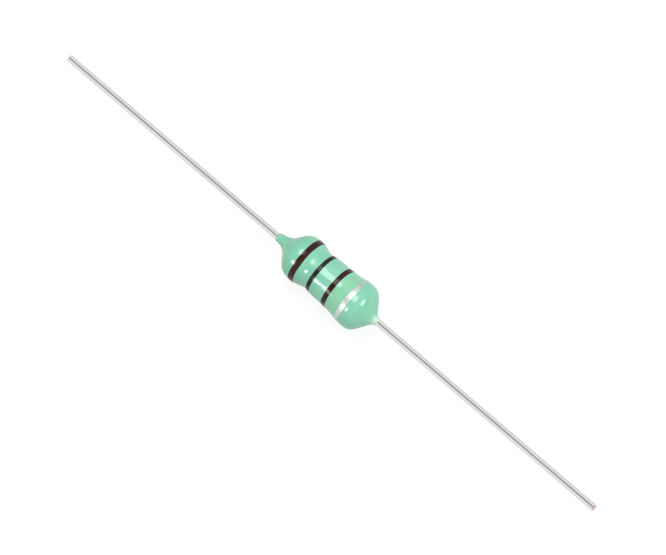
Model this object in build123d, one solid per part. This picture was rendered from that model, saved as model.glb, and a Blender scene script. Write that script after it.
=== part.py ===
from build123d import *
import os
from math import sqrt

# Axial inductor: a wound ferrite drum on two tinned leads, dipped in epoxy and
# ringed with a four-band colour code.
# Millimetres. The axis of the part is X, +Z is up, and the origin is on the axis,
# halfway between the cut ends of the two leads.

os.makedirs("parts", exist_ok=True)

# ---- leads -------------------------------------------------------------------
overall_length = 57.0        # cut end to cut end
lead_dia = 0.6
lead_end_chamfer = 0.05      # edge left by the cutter
coin_squeeze = 0.03          # the held end is pressed oval, so that it can't turn
coin_widening = 0.025        # by which the oval's long radius passes its short one

# ---- ferrite drum ------------------------------------------------------------
core_length = 7.0
flange_dia = 3.2
flange_length = 1.4
post_dia = 1.7
flange_edge_radius = 0.12
lead_seat_depth = 1.3        # how far a lead goes into the drum
glue_gap = 0.05              # radial room for the adhesive round a lead
glue_pad = 0.1               # adhesive between a lead and the bottom of its hole

# ---- winding -----------------------------------------------------------------
wire_dia = 0.13              # copper with its enamel
rim_clearance = 0.15         # flange left bare above the last layer, at least
winding_flange_gap = 0.02    # between the winding and each flange
short_layer_gap = 0.95       # the last layer stops this far from the left flange
valley_fill = 0.03           # enamel and varnish in the valley between two turns
lead_wraps = 2               # turns that each wire end makes round its lead
tail_bend_radius = 0.14
tail_lift = 0.01             # wire end above the ferrite that it crosses

# ---- solder ------------------------------------------------------------------
solder_beyond_wraps = 0.29
solder_over_wraps = 0.16     # at the drum's end

# ---- epoxy coat --------------------------------------------------------------
left_flange_cover = 0.40     # epoxy over the rim of each flange
right_flange_cover = 0.46
left_corner_cover = 0.26     # epoxy over the outer edge of that rim
right_corner_cover = 0.33
left_inner_cover = 0.31      # epoxy over the edge beside the winding
right_inner_cover = 0.36
winding_cover = 0.37         # epoxy over the winding
short_layer_cover = 0.38     # epoxy over the stretch that is one layer short
crest_shift = 0.08           # both crests lie this far towards +X of their flanges
shoulder_overrun = 0.68      # from a drum end to the middle of the coat's shoulder
shoulder_share = 0.6         # radius there, as a share of the crest beside it
left_neck_length = 1.52      # from that shoulder to where the coat meets the lead
right_neck_length = 0.98
neck_root = 0.62             # from the shoulder to where the neck leaves it
neck_root_cover = 0.27       # epoxy over the lead there
neck_film = 0.03             # thickness at which the coat breaks off on the lead

# ---- colour bands ------------------------------------------------------------
paint_thickness = 0.03
band_first_place = -2.56
band_first_width = 0.50
band_second_place = -0.92
band_second_width = 0.37
band_multiplier_place = 0.82
band_multiplier_width = 0.43
band_tolerance_place = 2.50
band_tolerance_width = 0.46

# ---- worked out --------------------------------------------------------------
lead_radius = lead_dia / 2
core_half = core_length / 2
post_radius = post_dia / 2
flange_radius = flange_dia / 2
wire_radius = wire_dia / 2
window_half = core_half - flange_length
hole_radius = lead_radius + glue_gap
hole_depth = lead_seat_depth + glue_pad
layer_pitch = wire_dia * sqrt(3) / 2
layer_room = flange_radius - rim_clearance - post_radius - wire_dia
winding_layers = 1 + int(layer_room / layer_pitch)
winding_radius = post_radius + wire_dia + (winding_layers - 1) * layer_pitch
short_layer_radius = winding_radius - layer_pitch
winding_start = -window_half + winding_flange_gap
winding_end = window_half - winding_flange_gap
full_layers_start = -window_half + short_layer_gap
wrap_radius = lead_radius + wire_radius
solder_thickness = wire_dia + solder_over_wraps
solder_length = tail_lift + lead_wraps * wire_dia + solder_beyond_wraps
left_crest_radius = flange_radius + left_flange_cover
right_crest_radius = flange_radius + right_flange_cover
crest_place = core_half - flange_length / 2
shoulder = core_half + shoulder_overrun
coin_end = shoulder + neck_root
coat_left_end = -shoulder - left_neck_length
coat_right_end = shoulder + right_neck_length


def rod(start, end, radius):
    """A plain round rod on the X axis."""
    return Plane.YZ.offset(start) * Cylinder(
        radius, end - start, align=(Align.CENTER, Align.CENTER, Align.MIN)
    )


def at_side(shape, side):
    """The shape as made for the +X end, or its mirror image for the -X end."""
    return shape if side > 0 else shape.mirror(Plane.YZ)


def block(start, end, low, high):
    """A rectangle of the half-section, from one radius to another."""
    return Pos((start + end) / 2, (low + high) / 2) * Rectangle(end - start, high - low)


def lead(side):
    """One tinned wire, from its oval seat in the drum to its cut end."""
    seat = core_half - lead_seat_depth
    short_radius = lead_radius - coin_squeeze
    oval = Ellipse(short_radius + coin_widening, short_radius)
    held = extrude(Plane.YZ.offset(seat) * oval, coin_end - seat)
    free = rod(coin_end, overall_length / 2, lead_radius)
    rims = free.edges().filter_by(GeomType.CIRCLE).sort_by(Axis.X)
    return at_side(chamfer(rims[-1:], lead_end_chamfer) + held, side)


def drum_core():
    """The ferrite spool: a post between two flanges, with a blind hole in each end."""
    drum = rod(-core_half, core_half, post_radius)
    for start in (-core_half, window_half):
        flange = rod(start, start + flange_length, flange_radius)
        drum += fillet(flange.edges().filter_by(GeomType.CIRCLE), flange_edge_radius)
    for side in (-1, 1):
        drum -= at_side(rod(core_half - hole_depth, core_half, hole_radius), side)
    return drum


def adhesive(side):
    """The resin that fills a drum hole round its lead."""
    return at_side(rod(core_half - hole_depth, core_half, hole_radius), side) - lead(side)


def turns(start, end, radius):
    """The half-section of one layer's turns, side by side, over what lies under them."""
    count = int((end - start) / wire_dia)
    pitch = (end - start) / count
    centre = radius - wire_radius
    section = block(start, end, post_radius, centre + valley_fill)
    for number in range(count):
        section += Pos(start + pitch * (number + 0.5), centre) * Circle(wire_radius)
    return section


def wire_tail(side, layer_radius):
    """One wire end: off the winding, over its flange and round its lead."""
    leave = winding_end - wire_dia
    rim = flange_radius + tail_lift + wire_radius
    face = core_half + tail_lift + wire_radius
    route = Plane.XZ * FilletPolyline(
        (leave, layer_radius - wire_dia),
        (leave, rim),
        (face, rim),
        (face, wrap_radius),
        radius=tail_bend_radius,
    )
    tail = sweep(Plane(origin=route @ 0, z_dir=route % 0) * Circle(wire_radius), path=route)
    last_wrap = face + (lead_wraps - 1) * wire_dia
    half_wire = wire_radius / 2
    wraps = block(face - half_wire, last_wrap + half_wire, lead_radius, wrap_radius + valley_fill)
    for number in range(lead_wraps):
        wraps += Pos(face + number * wire_dia, wrap_radius) * Circle(wire_radius)
    return at_side(tail + revolve(Plane.XZ * wraps, Axis.X), side)


def winding():
    """The whole enamelled wire, from one lead to the other."""
    section = turns(full_layers_start, winding_end, winding_radius)
    section += turns(winding_start, full_layers_start, short_layer_radius)
    body = revolve(Plane.XZ * section, Axis.X)
    return body + wire_tail(1, winding_radius) + wire_tail(-1, short_layer_radius)


def solder_joint(side, wire):
    """Solder round a lead and the wire wrapped on it, against the drum's end."""
    top = (core_half, lead_radius + solder_thickness)
    tip = (core_half + solder_length, lead_radius)
    outline = Line((core_half, 0), top)
    outline += TangentArc(top, tip, tangent=(1, 0))
    outline += Polyline(tip, (tip[0], 0), (core_half, 0))
    drop = revolve(Plane.XZ * make_face(outline), Axis.X)
    return at_side(drop, side) - lead(side) - wire


def coat_section():
    """The half-section inside the coat's outer skin, down to the axis."""
    waist_place = -window_half + 0.8 * short_layer_gap
    neck_radius = lead_radius + neck_film
    root_radius = lead_radius + neck_root_cover
    skin = (
        # place, radius and slope of the skin
        (coat_left_end, neck_radius, 0.2),
        (-shoulder - neck_root, root_radius, 0.42),
        (-shoulder, left_crest_radius * shoulder_share, 1.3),
        (-core_half, flange_radius + left_corner_cover, 0.5),
        (-crest_place + crest_shift, left_crest_radius, 0),
        (-window_half, flange_radius + left_inner_cover, -0.25),
        (waist_place, short_layer_radius + short_layer_cover, 0),
        (0, winding_radius + winding_cover, 0.01),
        (window_half, flange_radius + right_inner_cover, 0.2),
        (crest_place + crest_shift, right_crest_radius, 0),
        (core_half, flange_radius + right_corner_cover, -0.5),
        (shoulder, right_crest_radius * shoulder_share, -1.3),
        (shoulder + neck_root, root_radius, -0.6),
        (coat_right_end, neck_radius, -0.35),
    )
    points = [(place, radius) for place, radius, slope in skin]
    directions = [(1, slope) for place, radius, slope in skin]
    outline = Spline(*points, tangents=directions)
    outline += Polyline(points[-1], (coat_right_end, 0), (coat_left_end, 0), points[0])
    return make_face(outline)


def band(place, width):
    """One ring of paint on the coat."""
    under = coat_section()
    paint = Pos(0, paint_thickness) * under - under
    paint &= block(place - width / 2, place + width / 2, 0, flange_dia)
    return revolve(Plane.XZ * paint, Axis.X)


def build():
    """Every piece, by the name of its node."""
    core = drum_core()
    wire = winding()
    parts = {"ferrite_drum_core": core, "enamelled_copper_winding": wire}
    for side, name in ((-1, "left"), (1, "right")):
        parts["lead_wire_" + name] = lead(side)
        parts["lead_adhesive_" + name] = adhesive(side)
        parts["solder_joint_" + name] = solder_joint(side, wire)
    coat = revolve(Plane.XZ * coat_section(), Axis.X)
    for piece in parts.values():
        coat -= piece
    parts["epoxy_coat"] = coat
    parts["band_first_digit_brown"] = band(band_first_place, band_first_width)
    parts["band_second_digit_black"] = band(band_second_place, band_second_width)
    parts["band_multiplier_brown"] = band(band_multiplier_place, band_multiplier_width)
    parts["band_tolerance_silver"] = band(band_tolerance_place, band_tolerance_width)
    return parts


for node, piece in build().items():
    export_step(piece, "parts/" + node + ".step")
    print(node, len(piece.solids()), "solid", round(piece.volume, 4), "mm3")
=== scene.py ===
# %% [markdown]
# Axial inductor: the looks.
# The part is a small coil on a ferrite drum, dipped in green epoxy, with a tinned wire at
# each end and four painted rings that give its value.
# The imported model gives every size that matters, and is loaded first. Blender then adds
# what a lathe-turned model leaves out: the slightly lumpy skin of a dipped coat, paint
# that has flowed to a soft edge, wire with draw lines, and a coil of real turns.

import bmesh
import bpy
import numpy as np
from mathutils import Matrix, Vector


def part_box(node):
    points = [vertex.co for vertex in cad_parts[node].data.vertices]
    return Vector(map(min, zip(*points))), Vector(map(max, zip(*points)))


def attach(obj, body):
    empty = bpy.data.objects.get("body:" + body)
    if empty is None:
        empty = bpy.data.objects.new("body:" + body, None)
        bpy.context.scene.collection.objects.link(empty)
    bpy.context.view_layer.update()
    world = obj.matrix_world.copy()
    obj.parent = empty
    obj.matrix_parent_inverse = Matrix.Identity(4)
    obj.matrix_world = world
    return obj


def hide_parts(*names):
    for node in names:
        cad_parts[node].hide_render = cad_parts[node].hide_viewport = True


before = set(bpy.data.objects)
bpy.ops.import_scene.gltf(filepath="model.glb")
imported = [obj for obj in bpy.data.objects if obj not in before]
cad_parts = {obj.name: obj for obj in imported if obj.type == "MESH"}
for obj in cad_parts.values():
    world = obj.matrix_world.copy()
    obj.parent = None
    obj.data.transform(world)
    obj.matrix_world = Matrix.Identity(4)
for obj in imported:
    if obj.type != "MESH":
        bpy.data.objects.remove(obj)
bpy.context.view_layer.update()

MM = 0.001
print("nodes:", sorted(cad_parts))

# %% [markdown]
# Every place below comes from the frame. A node's box gives its ends and its radius, so
# the coat, the rings and the wires land exactly where the solid model has them.

# %% Sizes read from the frame, in millimetres


def span(node):
    """The two ends of a node along X and its radius about the axis, in millimetres."""
    low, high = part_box(node)
    return low.x / MM, high.x / MM, max(high.y, high.z) / MM


coat_left, coat_right, _ = span("epoxy_coat")
core_left, core_right, flange_radius = span("ferrite_drum_core")
lead_seat, lead_tip, wire_radius = span("lead_wire_right")
print("coat", coat_left, coat_right, "drum", core_left, core_right, "lead", lead_seat, lead_tip)

# %% [markdown]
# Two kinds of helper are used all through. One turns a grid of points into a mesh: a
# surface is worked out as a whole numpy array, and the grid's neighbours become faces.
# The other adds one shader node with its settings and its links.

# %% From a grid of points to a piece
touching = 1e-8     # metres: points nearer than this are merged into one
no_length = 1e-9    # metres: an edge shorter than this is dropped


def signed_volume(points, faces):
    """Volume inside the faces, negative where they face inwards.

    Each quad is two triangles, and each triangle with the origin is a thin pyramid whose
    volume is a sixth of the triple product of its corners.
    """
    a, b, c, d = (points[faces[:, corner]] for corner in range(4))
    first = np.einsum("ij,ij->i", a, np.cross(b, c))
    second = np.einsum("ij,ij->i", a, np.cross(c, d))
    return float((first + second).sum() / 6)


def grid_faces(rows, columns, close_rows):
    """Corner numbers of the quads of a grid whose columns always close into a ring."""
    last = rows if close_rows else rows - 1
    row = np.arange(last)[:, None]
    column = np.arange(columns)[None, :]
    next_row = (row + 1) % rows
    next_column = (column + 1) % columns
    corners = [
        row * columns + column,
        row * columns + next_column,
        next_row * columns + next_column,
        next_row * columns + column,
    ]
    return np.stack([np.broadcast_to(part, (last, columns)).ravel() for part in corners], axis=1)


def piece_from_grids(name, grids, close_rows=False):
    """One mesh object from one or more grids of points in millimetres.

    Each grid is an array of rows by columns by three. A first or last row that is one
    point repeated becomes a closed pole, because points that lie together are merged.
    """
    all_points, all_faces, count = [], [], 0
    for grid in grids:
        rows, columns = grid.shape[:2]
        points = grid.reshape(-1, 3) * MM
        faces = grid_faces(rows, columns, close_rows)
        if signed_volume(points, faces) < 0:
            faces = faces[:, ::-1]
        all_points.append(points)
        all_faces.append(faces + count)
        count += len(points)
    points, faces = np.concatenate(all_points), np.concatenate(all_faces)
    mesh = bpy.data.meshes.new(name)
    mesh.vertices.add(len(points))
    mesh.vertices.foreach_set("co", points.ravel())
    mesh.loops.add(faces.size)
    mesh.loops.foreach_set("vertex_index", faces.ravel().astype(np.int32))
    mesh.polygons.add(len(faces))
    mesh.polygons.foreach_set("loop_start", np.arange(0, faces.size, 4, dtype=np.int32))
    mesh.update(calc_edges=True)
    work = bmesh.new()
    work.from_mesh(mesh)
    bmesh.ops.remove_doubles(work, verts=work.verts, dist=touching)
    bmesh.ops.dissolve_degenerate(work, edges=work.edges, dist=no_length)
    work.to_mesh(mesh)
    work.free()
    mesh.polygons.foreach_set("use_smooth", np.ones(len(mesh.polygons), dtype=bool))
    piece = bpy.data.objects.new(name, mesh)
    bpy.context.scene.collection.objects.link(piece)
    print(name, len(mesh.vertices), "points", len(mesh.polygons), "faces")
    return piece


def round_the_axis(x, radius, angle):
    """Points at a place along X, a radius and an angle: 0 is on +Y and 90 degrees on +Z."""
    x, radius, angle = np.broadcast_arrays(x, radius, angle)
    return np.stack([x, radius * np.cos(angle), radius * np.sin(angle)], axis=-1)


def turn(steps):
    """Angles once round the axis, without repeating the first."""
    return np.linspace(0, 2 * np.pi, steps, endpoint=False)


# %% Colours and shader nodes


def linear(hex_colour):
    """An sRGB hex colour as linear red, green, blue and alpha.

    Below 0.04045 the curve is a straight line through zero, and above it a power of 2.4.
    """
    value = np.array([int(hex_colour[i : i + 2], 16) / 255 for i in (1, 3, 5)])
    curve = np.where(value <= 0.04045, value / 12.92, ((value + 0.055) / 1.055) ** 2.4)
    return (*curve.tolist(), 1.0)


def add(tree, kind, settings=None, links=None):
    """One shader node with its settings, its input values and what its inputs are linked to."""
    node = tree.nodes.new(kind)
    for key, value in (settings or {}).items():
        if isinstance(key, str) and hasattr(node, key):
            setattr(node, key, value)
        else:
            node.inputs[key].default_value = value
    for key, source in (links or {}).items():
        tree.links.new(source, node.inputs[key])
    return node


def per_mm(size_in_mm):
    """Texture scale, in cycles a metre, for a pattern that repeats over this many millimetres."""
    return 1 / (size_in_mm * MM)


def surface_material(name, **values):
    """A new material, with its tree, its shader and the object's own coordinates.

    The shader is a Principled one, and its constant inputs are set on its own sockets.
    """
    material = bpy.data.materials.new(name)
    material.use_nodes = True
    shader = material.node_tree.nodes["Principled BSDF"]
    for key, value in values.items():
        shader.inputs[key.replace("_", " ")].default_value = value
    place = add(material.node_tree, "ShaderNodeTexCoord").outputs["Object"]
    print("material", name)
    return material, material.node_tree, shader, place


# %% [markdown]
# The coat. The finished coil is dipped in thick epoxy and turned while it cures. Surface
# tension rounds the resin over the two flanges into bulbs, lets it sink over the winding,
# and draws it out along the wires in a short neck.
# A turned solid would be perfectly round. Here the outline is a sum of soft steps and
# bells, and a few slow waves and an off-centre sag are added round it, which is what
# breaks the reflections up on a real dipped part.

# %% Outline of the coat
shoulder = core_right + 0.68        # middle of the slope down to each wire
shoulder_softness = 0.59
barrel_height = 1.46                # coat over the coil, measured above the wire
left_bulb = (0.26, core_left + 0.63, 2.3)      # height, place and width of each swelling
right_bulb = (0.335, core_right - 0.33, 1.55)
waist = (-0.21, -1.36, 0.745)
end_lip = 0.06                      # length over which the coat rounds off on the wire
end_film = 0.03                     # the coat is at least this thick up to its lips
tip_taper = (4.45, coat_right)      # the right tip is drawn out thin between these places
tip_thinning = 0.8
waist_slant = 0.44                  # the waist lies this far to the left on the upper side
cone_sag = (0.11, 4.1, 0.8)         # height, place and width of each shift off the axis
bulb_sag = (0.03, 2.6, 1.2)
neck_creep = (0.055, coat_left + 0.7, 0.6)
sag_angle = np.radians(196)         # the side the resin sagged to, seen from the +X end
upper_angle = np.radians(106)       # the side that is up while the part is looked at


def bell(x, height, place, width):
    """A bell: the height times e to the minus of the squared distance over the width."""
    return height * np.exp(-(((x - place) / width) ** 2))


def coat_outline(x, slant=0.0):
    """Radius of the coat at each place along X.

    Two soft steps (hyperbolic tangents) raise a barrel off the wire, two wide bells swell
    it over the flanges, and a narrow bell sinks it where the winding is a layer short.
    A smooth ramp thins the right tip.
    """
    rise = np.tanh((x + shoulder) / shoulder_softness)
    fall = np.tanh((x - shoulder) / shoulder_softness)
    barrel = barrel_height / 2 * (rise - fall)
    cover = barrel + bell(x, *left_bulb) + bell(x, *right_bulb) + bell(x + slant, *waist)
    ramp = np.clip((x - tip_taper[0]) / (tip_taper[1] - tip_taper[0]), 0, 1)
    return wire_radius + cover * (1 - tip_thinning * ramp**2 * (3 - 2 * ramp))


def off_centre(x):
    """How far the middle of the coat lies from the axis, towards the side it sagged to.

    The resin sagged on the right bulb and its cone, and crept the other way on the left neck.
    """
    return bell(x, *cone_sag) + bell(x, *bulb_sag) - bell(x, *neck_creep)


def slow_waves(x, angle):
    """Low lumps of a dipped coat: four sine waves, each turning a little as it goes along X."""
    waves = (
        # height in mm, waves round the part, waves per mm along it, phase
        (0.010, 2, 0.16, 0.4),
        (0.007, 3, 0.31, 2.1),
        (0.004, 5, 0.55, 4.0),
        (0.003, 1, 0.90, 1.2),
    )
    total = 0
    for height, around, along, phase in waves:
        total = total + height * np.sin(around * angle + 2 * np.pi * along * x + phase)
    return total


def coat_surface(x, angle):
    """Radius of the skin: its outline, off centre, with slow waves that die out on the wire."""
    outline = coat_outline(x, waist_slant * np.cos(angle - upper_angle))
    over_coil = np.clip((outline - wire_radius) / barrel_height, 0, 1)
    sag = off_centre(x) * np.cos(angle - sag_angle)
    return outline + sag + slow_waves(x, angle) * over_coil


left_bulb_r, waist_r, right_bulb_r = coat_outline(np.array([-2.7, -1.35, 2.9])).round(3)
print("radius of the left bulb", left_bulb_r, "waist", waist_r, "right bulb", right_bulb_r)

# %% [markdown]
# Under the coat is the winding, and its size is needed for the coat's inner wall. It is one
# enamelled copper wire, wound in five layers between the flanges. Each layer lies in the
# valleys of the one below, so it is higher by the wire's diameter times half the root of three.
# The last layer stops short of the left flange, and that is why the coat has its waist there.

# %% Sizes of the winding
magnet_wire = 0.13                          # diameter of the copper with its enamel
layer_step = magnet_wire * np.sqrt(3) / 2
layers = 5
flange_length = 1.4
window_half = core_right - flange_length    # the winding lies between plus and minus this
wound_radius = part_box("enamelled_copper_winding")[1].y / MM
short_radius = wound_radius - layer_step
short_from = 0.95 - window_half             # where the last layer starts, 0.95 from the flange
print("winding radius", round(wound_radius, 3), "and a layer short", round(short_radius, 3))

# %% [markdown]
# The coat is a shell round what it holds, so it gets an inner wall too. The outer skin
# runs from one end to the other, and the inner wall runs back along the wire, the solder,
# the drum and the winding. Together they close into one ring of rows.

# %% The coat's skin and its inner wall
skin_rows, lip_rows, skin_columns = 300, 8, 192
solder_rows = 12


def coat_end(x, radius):
    """Draws the last stretch of the skin down to the wire in a quarter round."""
    left = np.clip((x - coat_left) / end_lip, 0, 1)
    right = np.clip((coat_right - x) / end_lip, 0, 1)
    rounding = np.sqrt(1 - (1 - left) ** 2) * np.sqrt(1 - (1 - right) ** 2)
    return wire_radius + (radius - wire_radius) * rounding


def skin_places():
    """Places of the skin's rows: evenly spread, and closer together at both lips."""
    middle = np.linspace(coat_left + end_lip, coat_right - end_lip, skin_rows)
    lip = end_lip * (1 - np.cos(np.linspace(0, np.pi / 2, lip_rows)))[:-1]
    return np.concatenate([coat_left + lip, middle, coat_right - lip[::-1]])


def solder_outline():
    """Places and radii of the right solder joint, from its tip back to the drum.

    It is an arc that is level at the drum. The arc's radius is half of the squared length
    plus the squared height, over the height, and the solder falls by the arc's sagitta.
    """
    tip, top = span("solder_joint_right")[1:]
    length, height = tip - core_right, top - wire_radius
    arc = (length**2 + height**2) / (2 * height)
    out = np.linspace(length, 0, solder_rows)
    return np.stack([core_right + out, top - (arc - np.sqrt(arc**2 - out**2))], axis=1)


def inner_wall():
    """Places and radii of what the coat is cast round, from the right end back to the left."""
    between_solders = np.array([
        (core_right, flange_radius), (window_half, flange_radius), (window_half, wound_radius),
        (short_from, wound_radius), (short_from, short_radius), (-window_half, short_radius),
        (-window_half, flange_radius), (core_left, flange_radius),
    ])
    right = solder_outline()
    return np.concatenate([right, between_solders, right[::-1] * (-1, 1)])


round_angle = turn(skin_columns)
skin_x = skin_places()[:, None]
skin_radius = np.maximum(coat_surface(skin_x, round_angle), wire_radius + end_film)
skin = round_the_axis(skin_x, coat_end(skin_x, skin_radius), round_angle)
wall = inner_wall()
wall = round_the_axis(wall[:, :1], wall[:, 1:], round_angle)
coat = piece_from_grids("dipped_epoxy_coat", [np.concatenate([skin, wall])], close_rows=True)

# %% [markdown]
# The value is painted on by rollers, one ring of ink at a time, while the part turns. The
# ink is a film a few hundredths of a millimetre thick. It pulls back a little before it
# dries, so its edge wavers and its lip is rounded. The silver one was laid on lightly, and
# is narrow in two places.
# Each ring is a strip that lies on the coat's own surface function, so it follows every
# lump of the coat. Its underside sinks a hair into the coat, and no gap can show.

# %% The four rings of ink
ink_film = 0.026                    # thickness of the ink
ink_sink = 0.008                    # depth of its underside in the coat
ink_rows = 25                       # across the top of a ring
widest_angle = upper_angle + 0.15   # where a lightly laid ring is widest
widest_share = 1.6                  # above 1, so that the widest stretch has some length


def wavy_edge(angle, size, seed):
    """How far an edge of the ink wavers: 3, 7 and 13 waves round, each half as high as the last.

    The sum is divided by the sum of their heights: one, a half and a quarter make 1.75.
    """
    shift = np.random.default_rng(seed).uniform(0, 2 * np.pi, 3)
    waves = [np.sin(count * angle + shift[i]) / 2**i for i, count in enumerate((3, 7, 13))]
    return size * sum(waves) / 1.75


def ink_ring(name, node, waver, seed, narrowest=1.0):
    """A strip of ink round the coat, across the width that its CAD ring has.

    Across the strip the film's thickness is full in the middle and falls as a rounded step
    at both edges: the fourth root of one minus the eighth power of the place across it.
    Where the ink was laid on lightly, the width falls to its narrowest share twice round.
    """
    start, end, _ = span(node)
    across = np.sin(np.linspace(-np.pi / 2, np.pi / 2, ink_rows))[:, None]
    pressed = 0.5 + 0.5 * np.cos(2 * (round_angle - widest_angle))
    share = narrowest + (1 - narrowest) * np.clip(widest_share * pressed, 0, 1)
    first = start + wavy_edge(round_angle, waver, seed) * share
    last = start + (end - start + wavy_edge(round_angle, waver, seed + 1)) * share
    x = first + (last - first) * (across + 1) / 2
    film = ink_film * np.clip(1 - across**8, 0, 1) ** 0.25
    top = round_the_axis(x, coat_surface(x, round_angle) + film, round_angle)
    under_x = x[::-1]
    under = round_the_axis(under_x, coat_surface(under_x, round_angle) - ink_sink, round_angle)
    return piece_from_grids(name, [np.concatenate([top, under])], close_rows=True)


even, uneven = 0.012, 0.035         # how far the edges waver
first_ring = ink_ring("brown_ink_first_ring", "band_first_digit_brown", even, 11)
second_ring = ink_ring("black_ink_second_ring", "band_second_digit_black", even, 23)
third_ring = ink_ring("brown_ink_third_ring", "band_multiplier_brown", even, 35)
fourth_ring = ink_ring("silver_ink_fourth_ring", "band_tolerance_silver", uneven, 47, 0.3)

# %% [markdown]
# Each lead is a straight copper wire that was drawn through a die and then tinned. The end
# in the drum is pressed slightly oval, so that the resin can hold it against turning. The
# other end was cut by a blade, which leaves a small chamfer and a bare copper face.
# The wire is a surface of rows along X, with its rows gathered at the cut end.

# %% The two leads
oval_end = coat_right - 0.36        # the pressed stretch ends inside the coat
oval_to_round = 0.06                # length over which it becomes round
oval_squeeze, oval_widening = 0.03, 0.025
cut_chamfer = 0.05
held_rows, free_rows, lead_columns = 20, 60, 64
sharp_edge = np.radians(30)         # an edge that bends more than this is shaded as a corner


def lead_wire(name, side):
    """A tinned wire: round outside, oval where it is held, and chamfered at its cut end.

    The oval's radius is the squeezed one, plus the widening times the squared cosine of the
    angle from its long axis. Both end rows are one point repeated, which closes them.
    """
    held = np.linspace(lead_seat, oval_end, held_rows)
    free = np.linspace(oval_end + oval_to_round, lead_tip - 2 * cut_chamfer, free_rows)
    cut_end = [lead_tip - 1.05 * cut_chamfer, lead_tip - cut_chamfer, lead_tip, lead_tip, lead_tip]
    x = np.concatenate([[lead_seat, lead_seat], held, free, cut_end])[:, None]
    angle = turn(lead_columns)
    oval = wire_radius - oval_squeeze + oval_widening * np.cos(angle) ** 2
    radius = np.where(x <= oval_end, oval, wire_radius)
    radius[0] = 0
    radius[-3:] = np.array([[wire_radius - cut_chamfer], [wire_radius / 2], [0]])
    wire = piece_from_grids(name, [round_the_axis(side * x, radius, angle)])
    wire.data.set_sharp_from_angle(angle=sharp_edge)
    return wire


left_lead = lead_wire("tinned_lead_left", -1)
right_lead = lead_wire("tinned_lead_right", 1)

# %% [markdown]
# The winding itself. The layers run there and back, and between two layers the wire
# climbs one step. Its place along X and its radius both follow from the number of turns
# made so far, so the whole coil is worked out at once. Then each end crosses its flange,
# runs down the drum's face and is wrapped round its lead, under the solder.

# %% Tubes that follow a path
tube_sides = 8
path_step = 0.03            # between the points of a rounded path
tail_bend = 0.14            # half the length that a corner is averaged over


def tube(path, side_hint):
    """A round wire along a path.

    At each point of the path a circle is drawn in the plane square to its direction. The
    circle's two axes are the hint with its part along the wire taken out, and the cross
    product of that with the direction.
    """
    ahead = np.gradient(path, axis=0)
    ahead /= np.linalg.norm(ahead, axis=1, keepdims=True)
    first = side_hint - (ahead @ side_hint)[:, None] * ahead
    first /= np.linalg.norm(first, axis=1, keepdims=True)
    second = np.cross(ahead, first)
    angle = turn(tube_sides)[None, :, None]
    circle = np.cos(angle) * first[:, None] + np.sin(angle) * second[:, None]
    rings = path[:, None] + circle * magnet_wire / 2
    caps = np.repeat(path[[0, -1], None], tube_sides, axis=1)
    return np.concatenate([caps[:1], rings, caps[1:]])


def rounded(corners):
    """A path through corners: even steps, each averaged with its neighbours within the bend."""
    corners = np.array(corners)
    along = np.concatenate([[0], np.cumsum(np.linalg.norm(np.diff(corners, axis=0), axis=1))])
    place = np.arange(0, along[-1], path_step)
    path = np.stack([np.interp(place, along, corners[:, axis]) for axis in range(3)], axis=1)
    width = 2 * int(tail_bend / path_step) + 1
    padded = np.pad(path, ((width // 2, width // 2), (0, 0)), mode="reflect", reflect_type="odd")
    window = np.ones(width) / width
    return np.stack([np.convolve(padded[:, axis], window, "valid") for axis in range(3)], axis=1)


# %% The coil, its two ends and the wraps round the leads
half_wire = magnet_wire / 2
flange_gap, tail_lift = 0.02, 0.01          # room beside the flange, and over the ferrite
leave_x = window_half - 0.15                # where the wire leaves the winding
right_stop = window_half - flange_gap - half_wire
left_stop = leave_x - magnet_wire           # room for the wire that comes up from the first layer
rim = flange_radius + tail_lift + half_wire
face = core_right + tail_lift + half_wire   # down the drum's end
wrap_radius = wire_radius + half_wire
wraps, wrap_points = 1.75, 50
points_per_turn = 30
climb_turns = 0.33                          # the part of a turn in which a layer is climbed
top_centre = wound_radius - half_wire
base_centre = top_centre - (layers - 1) * layer_step
coil_stops = [
    # turns in this run, and where along X it ends
    (0, -leave_x), (30, right_stop), (29, -left_stop), (29, right_stop), (29, -left_stop),
    (1, short_from + half_wire), (23, leave_x),
]


def coil_path():
    """The middle of the coil's wire. Its place along X runs straight from stop to stop.

    The radius climbs one layer step in a third of a turn after each of the first four layers.
    """
    turns, stops = np.array(coil_stops).T
    made = np.cumsum(turns)
    t = np.linspace(0, made[-1], int(made[-1]) * points_per_turn + 1)
    climbs = np.clip((t[:, None] - made[1:-2]) / climb_turns, 0, 1).sum(axis=1)
    radius = base_centre + climbs * layer_step
    return round_the_axis(np.interp(t, made, stops), radius, np.pi / 2 + 2 * np.pi * t)


def wire_end(side, from_radius):
    """The wire's path over a flange and its wraps round the lead, at one end."""
    tail = rounded([
        (side * leave_x, 0, from_radius), (side * leave_x, 0, rim),
        (side * face, 0, rim), (side * face, 0, wrap_radius),
    ])
    t = np.linspace(0, wraps, wrap_points)
    wrap = round_the_axis(side * (face + magnet_wire * t), wrap_radius, np.pi / 2 + 2 * np.pi * t)
    return tube(tail, np.array([0.0, 1, 0])), tube(wrap, np.array([1.0, 0, 0]))


runs = [tube(coil_path(), np.array([1.0, 0, 0]))]
runs += [*wire_end(1, top_centre), *wire_end(-1, base_centre)]
winding = piece_from_grids("enamelled_copper_coil", runs)

# %% [markdown]
# Every new piece stands for a CAD node and rides on the part's one body.

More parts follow.
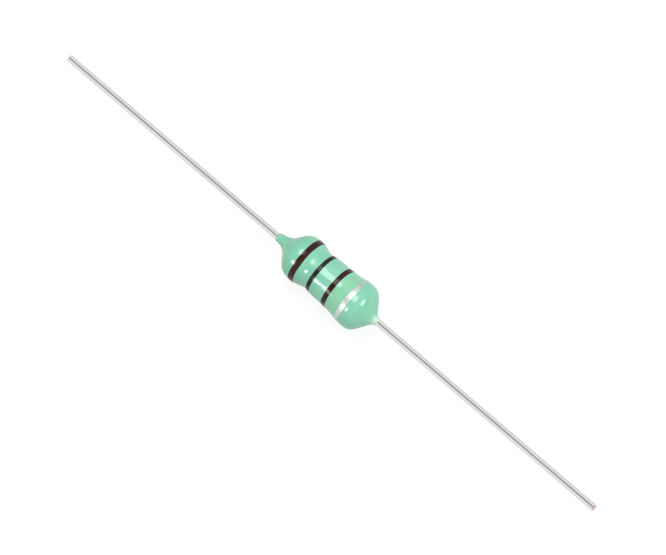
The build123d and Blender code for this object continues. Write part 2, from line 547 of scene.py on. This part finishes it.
# %% What each piece stands for
stands_for = [
    (coat, "epoxy_coat", "green_epoxy"),
    (first_ring, "band_first_digit_brown", "brown_ink"),
    (second_ring, "band_second_digit_black", "black_ink"),
    (third_ring, "band_multiplier_brown", "brown_ink"),
    (fourth_ring, "band_tolerance_silver", "silver_ink"),
    (left_lead, "lead_wire_left", "tinned_copper"),
    (right_lead, "lead_wire_right", "tinned_copper"),
    (winding, "enamelled_copper_winding", "enamelled_copper"),
]
for piece, node, slot in stands_for:
    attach(piece, "root")
    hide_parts(node)

# %% [markdown]
# Dipped epoxy, cast and cured. It is a smooth, hard resin filled with green pigment, so
# it has one sharp, clear reflection over an even colour. Before the silver ring it looks a
# little yellower. At the right tip the colour is painted pale: a painted highlight where
# the coat meets the wire. Handling leaves faint smears that change the gloss, and the
# cured skin has a very shallow orange peel.

# %% Glossy green epoxy
warm_rise, warm_fall = (0.8, 1.4), (1.9, 2.5)   # mm along X where the warmer colour comes and goes
# Length in mm of the painted highlight at the right tip.
tip_highlight_length = 0.6                               # mm at the right tip


def patterned(tree, place, scale, detail=2.0, stretch=(1, 1, 1)):
    """Soft noise between 0 and 1, with its scale in cycles a metre, stretched along each axis."""
    mapping = add(tree, "ShaderNodeMapping", {"Scale": stretch}, {"Vector": place})
    settings = {"Scale": scale, "Detail": detail, "Roughness": 0.5}
    links = {"Vector": mapping.outputs["Vector"]}
    return add(tree, "ShaderNodeTexNoise", settings, links).outputs["Fac"]


def ramp(tree, factor, low, high, start=0.35, end=0.65):
    """A colour between two hex colours as the factor goes from start to end."""
    node = add(tree, "ShaderNodeValToRGB", links={"Fac": factor})
    first, last = node.color_ramp.elements
    first.position, first.color = start, linear(low)
    last.position, last.color = end, linear(high)
    return node.outputs["Color"]


def between(tree, factor, low, high, start=0.3, end=0.7):
    """A number between low and high as the factor goes from start to end."""
    settings = {"From Min": start, "From Max": end, "To Min": low, "To Max": high}
    return add(tree, "ShaderNodeMapRange", settings, {"Value": factor}).outputs["Result"]


def cells(tree, place, size_in_mm, output):
    """Cells of about this size: their distance from each cell's middle, or a random colour."""
    settings = {"Scale": per_mm(size_in_mm)}
    return add(tree, "ShaderNodeTexVoronoi", settings, {"Vector": place}).outputs[output]


def blended(tree, factor, first, second_hex):
    """A colour mixed with a hex colour by a factor. Inputs 6 and 7 of the node are its colours."""
    settings = {"data_type": "RGBA", 7: linear(second_hex)}
    return add(tree, "ShaderNodeMix", settings, {0: factor, 6: first}).outputs[2]


def combined(tree, operation, first, second):
    """Two numbers taken together by one operation of the Math node."""
    return add(tree, "ShaderNodeMath", {"operation": operation}, {0: first, 1: second}).outputs[0]


def dressed(tree, shader, colour, roughness, height, depth_in_mm):
    """Links a shader's colour and roughness, and raises its surface by a pattern of heights.

    The depth is how far the surface rises, in millimetres, from a height of 0 to 1.
    """
    settings = {"Distance": depth_in_mm * MM, "Strength": 1.0}
    bump = add(tree, "ShaderNodeBump", settings, {"Height": height})
    tree.links.new(colour, shader.inputs["Base Color"])
    tree.links.new(roughness, shader.inputs["Roughness"])
    tree.links.new(bump.outputs["Normal"], shader.inputs["Normal"])


epoxy, tree, shader, place = surface_material("dipped_green_epoxy", IOR=1.55)
drift = patterned(tree, place, per_mm(2.6))
mottle = patterned(tree, place, per_mm(0.3), detail=3.0)
smears = patterned(tree, place, per_mm(1.4), detail=3.0)
orange_peel = patterned(tree, place, per_mm(0.45), detail=1.0)
along = add(tree, "ShaderNodeSeparateXYZ", links={"Vector": place}).outputs["X"]
warm = combined(
    tree, "MULTIPLY",
    between(tree, along, 0.0, 1.0, warm_rise[0] * MM, warm_rise[1] * MM),
    between(tree, along, 1.0, 0.0, warm_fall[0] * MM, warm_fall[1] * MM),
)
# Painted highlight: towards the right tip the green is blended to a pale near-white, where the
# coat meets the wire.
painted_tip_highlight = between(tree, along, 0.0, 0.8, (coat_right - tip_highlight_length) * MM, coat_right * MM)
colour = ramp(tree, drift, "#7DC8A8", "#87D0AF")
colour = blended(tree, between(tree, mottle, 0.0, 0.12), colour, "#76BB9C")
colour = blended(tree, warm, colour, "#89CFA8")
colour = blended(tree, painted_tip_highlight, colour, "#DDEFDD")
dressed(tree, shader, colour, between(tree, smears, 0.11, 0.19), orange_peel, 0.0022)
coat.data.materials.append(epoxy)

# %% [markdown]
# Roller-printed enamel ink. The film is thin and glossy, and the roller leaves fine lines
# that run round the part, along which the ink is a little thicker and darker. The widest
# are about 0.09 mm apart: a noise of 1.2 mm is squeezed 14 times along X.

# %% Brown and black ink


def roller_ink(name, thin, thick, roughness):
    """Glossy ink with roller lines, from the colour where it is thin to where it is thick."""
    ink, tree, shader, place = surface_material(name, IOR=1.5, Specular_IOR_Level=0.22)
    lines = patterned(tree, place, per_mm(1.2), detail=3.0, stretch=(14, 1, 1))
    patches = patterned(tree, place, per_mm(0.9), detail=2.0)
    colour = ramp(tree, lines, thin, thick)
    colour = blended(tree, between(tree, patches, 0.2, 0.8), colour, thick)
    gloss = between(tree, patches, roughness * 0.8, roughness * 1.4)
    dressed(tree, shader, colour, gloss, lines, 0.003)
    return ink


brown_ink = roller_ink("roller_printed_brown_ink", "#4C1F15", "#260F08", 0.12)
black_ink = roller_ink("roller_printed_black_ink", "#262824", "#161815", 0.16)
for ring, ink in ((first_ring, brown_ink), (second_ring, black_ink), (third_ring, brown_ink)):
    ring.data.materials.append(ink)

# %% [markdown]
# Silver ink holds aluminium flakes that lie almost flat in a clear binder. Each flake tips
# its own way, so the ring glitters faintly instead of reflecting like a mirror. Real flakes
# are about 0.02 mm across, too fine to show, and are drawn here at 0.06 mm.

# %% Silver flake ink
silver_ink, tree, shader, place = surface_material(
    "aluminium_flake_silver_ink", Metallic=0.85, Coat_Weight=0.5, Coat_Roughness=0.15
)
flakes = cells(tree, place, 0.06, "Color")
flake_tone = add(tree, "ShaderNodeSeparateColor", links={"Color": flakes}).outputs["Red"]
colour = ramp(tree, flake_tone, "#BDC5C1", "#D3DAD6", 0.0, 1.0)
gloss = between(tree, flake_tone, 0.32, 0.42, 0.0, 1.0)
dressed(tree, shader, colour, gloss, flake_tone, 0.0005)
fourth_ring.data.materials.append(silver_ink)

# %% [markdown]
# Tinned copper wire. Molten tin is wiped on as the wire leaves its bath, and the wiper and
# the straightening rolls leave hairlines along the wire. They are finer than a hundredth
# of a millimetre, and are drawn at 0.04 mm so that they show. The blade bares copper at
# the cut end, with a rim of tin dragged over it.

# %% Tinned copper
bare_length = (0.012, 0.004)    # mm before the cut end where tin gives way to bare copper
tinned, tree, shader, place = surface_material("hot_tinned_copper_wire", Metallic=1.0)
hairlines = patterned(tree, place, per_mm(0.12), detail=3.0, stretch=(0.02, 3, 3))
dull_patches = patterned(tree, place, per_mm(2.2), detail=3.0, stretch=(0.4, 1, 1))
along = add(tree, "ShaderNodeSeparateXYZ", links={"Vector": place}).outputs["X"]
outward = add(tree, "ShaderNodeMath", {"operation": "ABSOLUTE"}, {0: along}).outputs[0]
bare = between(
    tree, outward, 0.0, 1.0, (lead_tip - bare_length[0]) * MM, (lead_tip - bare_length[1]) * MM
)
colour = blended(tree, bare, ramp(tree, hairlines, "#E2E3E4", "#F2F2F1"), "#C98A66")
dressed(tree, shader, colour, between(tree, dull_patches, 0.13, 0.24), hairlines, 0.0008)
for lead in (left_lead, right_lead):
    lead.data.materials.append(tinned)

# %% [markdown]
# Enamelled copper: drawn wire under a clear, slightly amber enamel. The metal gives the
# colour and the enamel a second, sharper gloss over it. The tint varies a little from turn
# to turn, because the enamel isn't equally thick.

# %% Enamelled copper
magnet_copper, tree, shader, place = surface_material(
    "enamelled_copper_magnet_wire", Metallic=1.0, Coat_Weight=0.8, Coat_Roughness=0.08
)
tint = patterned(tree, place, per_mm(0.5), detail=3.0, stretch=(3, 1, 1))
ripples = patterned(tree, place, per_mm(0.05), detail=2.0)
colour = ramp(tree, tint, "#A4552A", "#C9773D")
dressed(tree, shader, colour, between(tree, tint, 0.22, 0.34), ripples, 0.0006)
winding.data.materials.append(magnet_copper)

# %% [markdown]
# The pieces whose solid shape is already right keep it, and only get their finish: the
# pressed and sintered ferrite drum, the resin that holds each lead, and the solder.
# Ferrite is a dark, dense ceramic with grains and pores about 0.07 mm across. Solder cools
# with a frosted skin of crystals. The resin is amber and has small bubbles.

# %% Ferrite, resin and solder
ferrite, tree, shader, place = surface_material("sintered_ferrite", IOR=2.0)
grains = cells(tree, place, 0.07, "Distance")
cloud = patterned(tree, place, per_mm(0.8), detail=4.0)
colour = ramp(tree, cloud, "#2C2B2D", "#48464A")
dressed(tree, shader, colour, between(tree, grains, 0.42, 0.66, 0.0, 0.6), grains, 0.006)

resin, tree, shader, place = surface_material(
    "amber_holding_resin", IOR=1.54, Subsurface_Weight=0.2
)
bubbles = cells(tree, place, 0.18, "Distance")
rims = between(tree, bubbles, 0.0, 1.0, 0.05, 0.2)
colour = ramp(tree, bubbles, "#B98543", "#8A5A2A", 0.1, 0.5)
dressed(tree, shader, colour, between(tree, bubbles, 0.18, 0.3, 0.0, 0.6), rims, 0.004)

solder, tree, shader, place = surface_material("lead_free_tin_solder", Metallic=1.0)
crystals = cells(tree, place, 0.11, "Distance")
frost = patterned(tree, place, per_mm(0.4), detail=4.0)
colour = ramp(tree, frost, "#BFC1C2", "#DCDDDC")
dressed(tree, shader, colour, between(tree, frost, 0.2, 0.42), crystals, 0.003)

kept_finishes = {
    "ferrite_drum_core": ferrite, "lead_adhesive_left": resin, "lead_adhesive_right": resin,
    "solder_joint_left": solder, "solder_joint_right": solder,
}
for node, finish in kept_finishes.items():
    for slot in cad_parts[node].material_slots:
        slot.material = finish
    print(node, "is", finish.name)

# %% [markdown]
# The floor is a plain pale sheet that just touches the lower side of the coat. The lamps
# light it, so it takes the part's shadow. Most of what the camera sees of it, and half of
# what reflections see, is a plain white of its own, which keeps the ground even.

# %% Floor
floor_drop = float(skin[..., 2].min())      # mm, the lowest point of the coat
floor_half_size = 3.0                       # metres
own_white = 0.78            # share of its own white that the camera sees
mirrored_white = 0.5        # and that reflections see
white_strength = 1.15       # a little above 1, which makes up for the card's grey


def flat_floor():
    """A square floor at the lowest point of the coat."""
    corner = floor_half_size * np.array([(-1, -1), (1, -1), (1, 1), (-1, 1)])
    points = [(x, y, floor_drop * MM) for x, y in corner]
    mesh = bpy.data.meshes.new("floor")
    mesh.from_pydata(points, [], [(0, 1, 2, 3)])
    sheet = bpy.data.objects.new("floor", mesh)
    bpy.context.scene.collection.objects.link(sheet)
    return sheet


def pale_sheet():
    """Grey card mixed with an even white of its own, by shares for the camera and reflections."""
    card, tree, shader, place = surface_material(
        "matt_pale_card", Roughness=0.9, Specular_IOR_Level=0.0
    )
    fibre = patterned(tree, place, per_mm(1.5), detail=4.0)
    tree.links.new(ramp(tree, fibre, "#BABABA", "#BEBEBE"), shader.inputs["Base Color"])
    ray = add(tree, "ShaderNodeLightPath").outputs
    reflected = combined(tree, "MAXIMUM", ray["Is Glossy Ray"], ray["Is Transmission Ray"])
    seen = between(tree, ray["Is Camera Ray"], 0.0, own_white, 0.0, 1.0)
    mirrored = between(tree, reflected, 0.0, mirrored_white, 0.0, 1.0)
    share = combined(tree, "MAXIMUM", seen, mirrored)
    white = add(tree, "ShaderNodeEmission", {"Color": (1, 1, 1, 1), "Strength": white_strength})
    sources = {0: share, 1: shader.outputs["BSDF"], 2: white.outputs["Emission"]}
    mix = add(tree, "ShaderNodeMixShader", links=sources)
    tree.links.new(mix.outputs["Shader"], tree.nodes["Material Output"].inputs["Surface"])
    return card


floor = flat_floor()
floor.data.materials.append(pale_sheet())
print("floor at", round(floor_drop, 3), "mm")

# %% [markdown]
# The camera looks steeply down, with the right-hand lead a little nearer. All directions
# below are built from three plain ones: along the part, towards the camera's side of it,
# and across it.

# %% Camera
along_part = Vector((1, 0, 0))
camera_side = Vector((0, -0.2794, 0.9602))      # leans 16.2 degrees from straight up
across_part = Vector((0, 0.9602, 0.2794))
nearer_end = np.radians(14.45)      # how far the right-hand end is turned to the camera
camera_distance = 1.5               # metres
view_width = 53.15 * MM
sensor_width = 36                   # mm
picture_centre = (0.20 * MM, 0.34 * MM)     # of the view, right of the part's middle and above it

toward_camera = camera_side * np.cos(nearer_end) + along_part * np.sin(nearer_end)
view_right = Vector((0, 0, 1)).cross(toward_camera).normalized()
view_up = toward_camera.cross(view_right)
camera = bpy.data.objects.new("camera", bpy.data.cameras.new("camera"))
bpy.context.scene.collection.objects.link(camera)
camera.data.sensor_width = sensor_width
camera.data.lens = sensor_width * camera_distance / view_width
aim = view_right * picture_centre[0] + view_up * picture_centre[1]
turned = Matrix((view_right, view_up, toward_camera)).transposed().to_4x4()
camera.matrix_world = Matrix.Translation(aim + toward_camera * camera_distance) @ turned
bpy.context.scene.camera = camera
print("lens", round(camera.data.lens, 1), "mm")

# %% [markdown]
# Three soft lamps. A broad, weak one on the camera's side gives the wide pale row of
# reflections, a small strong one towards the picture's lower edge gives the crisp row, and
# the third lights the right-hand cone. Black flags keep them off the bare wires, which
# would flare: the wires only see the white room, and the grey gap that the next step makes.

# %% Lamps
lamp_distance = 1.0     # metres
wires = bpy.data.collections.new("flagged_wires")
for lead in (left_lead, right_lead):
    wires.objects.link(lead)
for member in wires.collection_objects:
    member.light_linking.link_state = "EXCLUDE"


def soft_lamp(name, along, facing, across, degrees, strength):
    """A round lamp in a direction, this many degrees wide as seen from the part.

    A disc of this width has an area of pi times the squared half width. Its power is four
    times its strength times its area, and its face then looks 4 over pi times its strength.
    """
    direction = along_part * along + camera_side * facing + across_part * across
    direction.normalize()
    lamp = bpy.data.lights.new(name, "AREA")
    lamp.shape = "DISK"
    lamp.size = 2 * lamp_distance * np.tan(np.radians(degrees / 2))
    lamp.energy = 4 * strength * np.pi * (lamp.size / 2) ** 2
    holder = bpy.data.objects.new(name, lamp)
    bpy.context.scene.collection.objects.link(holder)
    aimed = direction.to_track_quat("Z", "Y").to_matrix().to_4x4()
    holder.matrix_world = Matrix.Translation(direction * lamp_distance) @ aimed
    holder.visible_camera = False
    holder.light_linking.receiver_collection = wires
    print(name, "power", round(lamp.energy, 2), "W")
    return holder


soft_lamp("broad_lamp", -0.19, 0.92, 0.29, 32, 4.6)
soft_lamp("crisp_lamp", -0.23, 0.67, -0.70, 17, 11.5)
soft_lamp("end_lamp", 0.76, 0.48, 0.43, 28, 6.0)

# %% [markdown]
# The white room. Its walls light the part softly, and more from the far side. In
# reflections they are white, a little greyer low down, with a grey gap overhead, across
# the part from the camera. A bright wire mirrors that gap as the dark line down its middle.
# Behind the floor the room is plain white.

# %% World
near_wall, far_wall = 0.05, 0.55    # light of the room on matt surfaces, from either side
low_tone, high_tone = 0.7, 1.08     # of the walls in reflections, low down and high up
low_facing, high_facing = 0.1, 0.8  # how far a wall points overhead, low down and high up
gap_tone = 0.36
gap_degrees = (24, 34)              # the gap's edge is soft between these angles from its middle

across_from_camera = camera_side * np.cos(nearer_end) - along_part * np.sin(nearer_end)
world = bpy.data.worlds.new("white_room")
bpy.context.scene.world = world
world.use_nodes = True
tree = world.node_tree
direction = add(tree, "ShaderNodeTexCoord").outputs["Generated"]


def facing(way):
    """How far a direction of the room points one way, from -1 to 1."""
    settings = {"operation": "DOT_PRODUCT", 1: tuple(way)}
    return add(tree, "ShaderNodeVectorMath", settings, {0: direction}).outputs["Value"]


gap_edges = np.cos(np.radians(gap_degrees))
overhead = facing(across_from_camera)
gap = between(tree, overhead, gap_tone, 1.0, float(gap_edges[0]), float(gap_edges[1]))
height_tone = between(tree, overhead, low_tone, high_tone, low_facing, high_facing)
mirrored = combined(tree, "MULTIPLY", gap, height_tone)
matt = between(tree, facing(across_part), near_wall, far_wall, -1.0, 1.0)
ray = add(tree, "ShaderNodeLightPath").outputs
sources = {0: ray["Is Diffuse Ray"], 2: mirrored, 3: matt}
tone = add(tree, "ShaderNodeMix", {"data_type": "FLOAT"}, sources).outputs[0]
sources = {0: ray["Is Camera Ray"], 2: tone}
shown = add(tree, "ShaderNodeMix", {"data_type": "FLOAT", 3: 1.0}, sources).outputs[0]
background = tree.nodes["Background"]
background.inputs["Color"].default_value = (1, 1, 1, 1)
tree.links.new(shown, background.inputs["Strength"])
print("room", world.name, "with a gap of", 2 * gap_degrees[0], "degrees")

# %% [markdown]
# Last, the colours are shown as they are, with the plain Standard view.

# %% Finish
bpy.context.scene.view_settings.view_transform = "Standard"
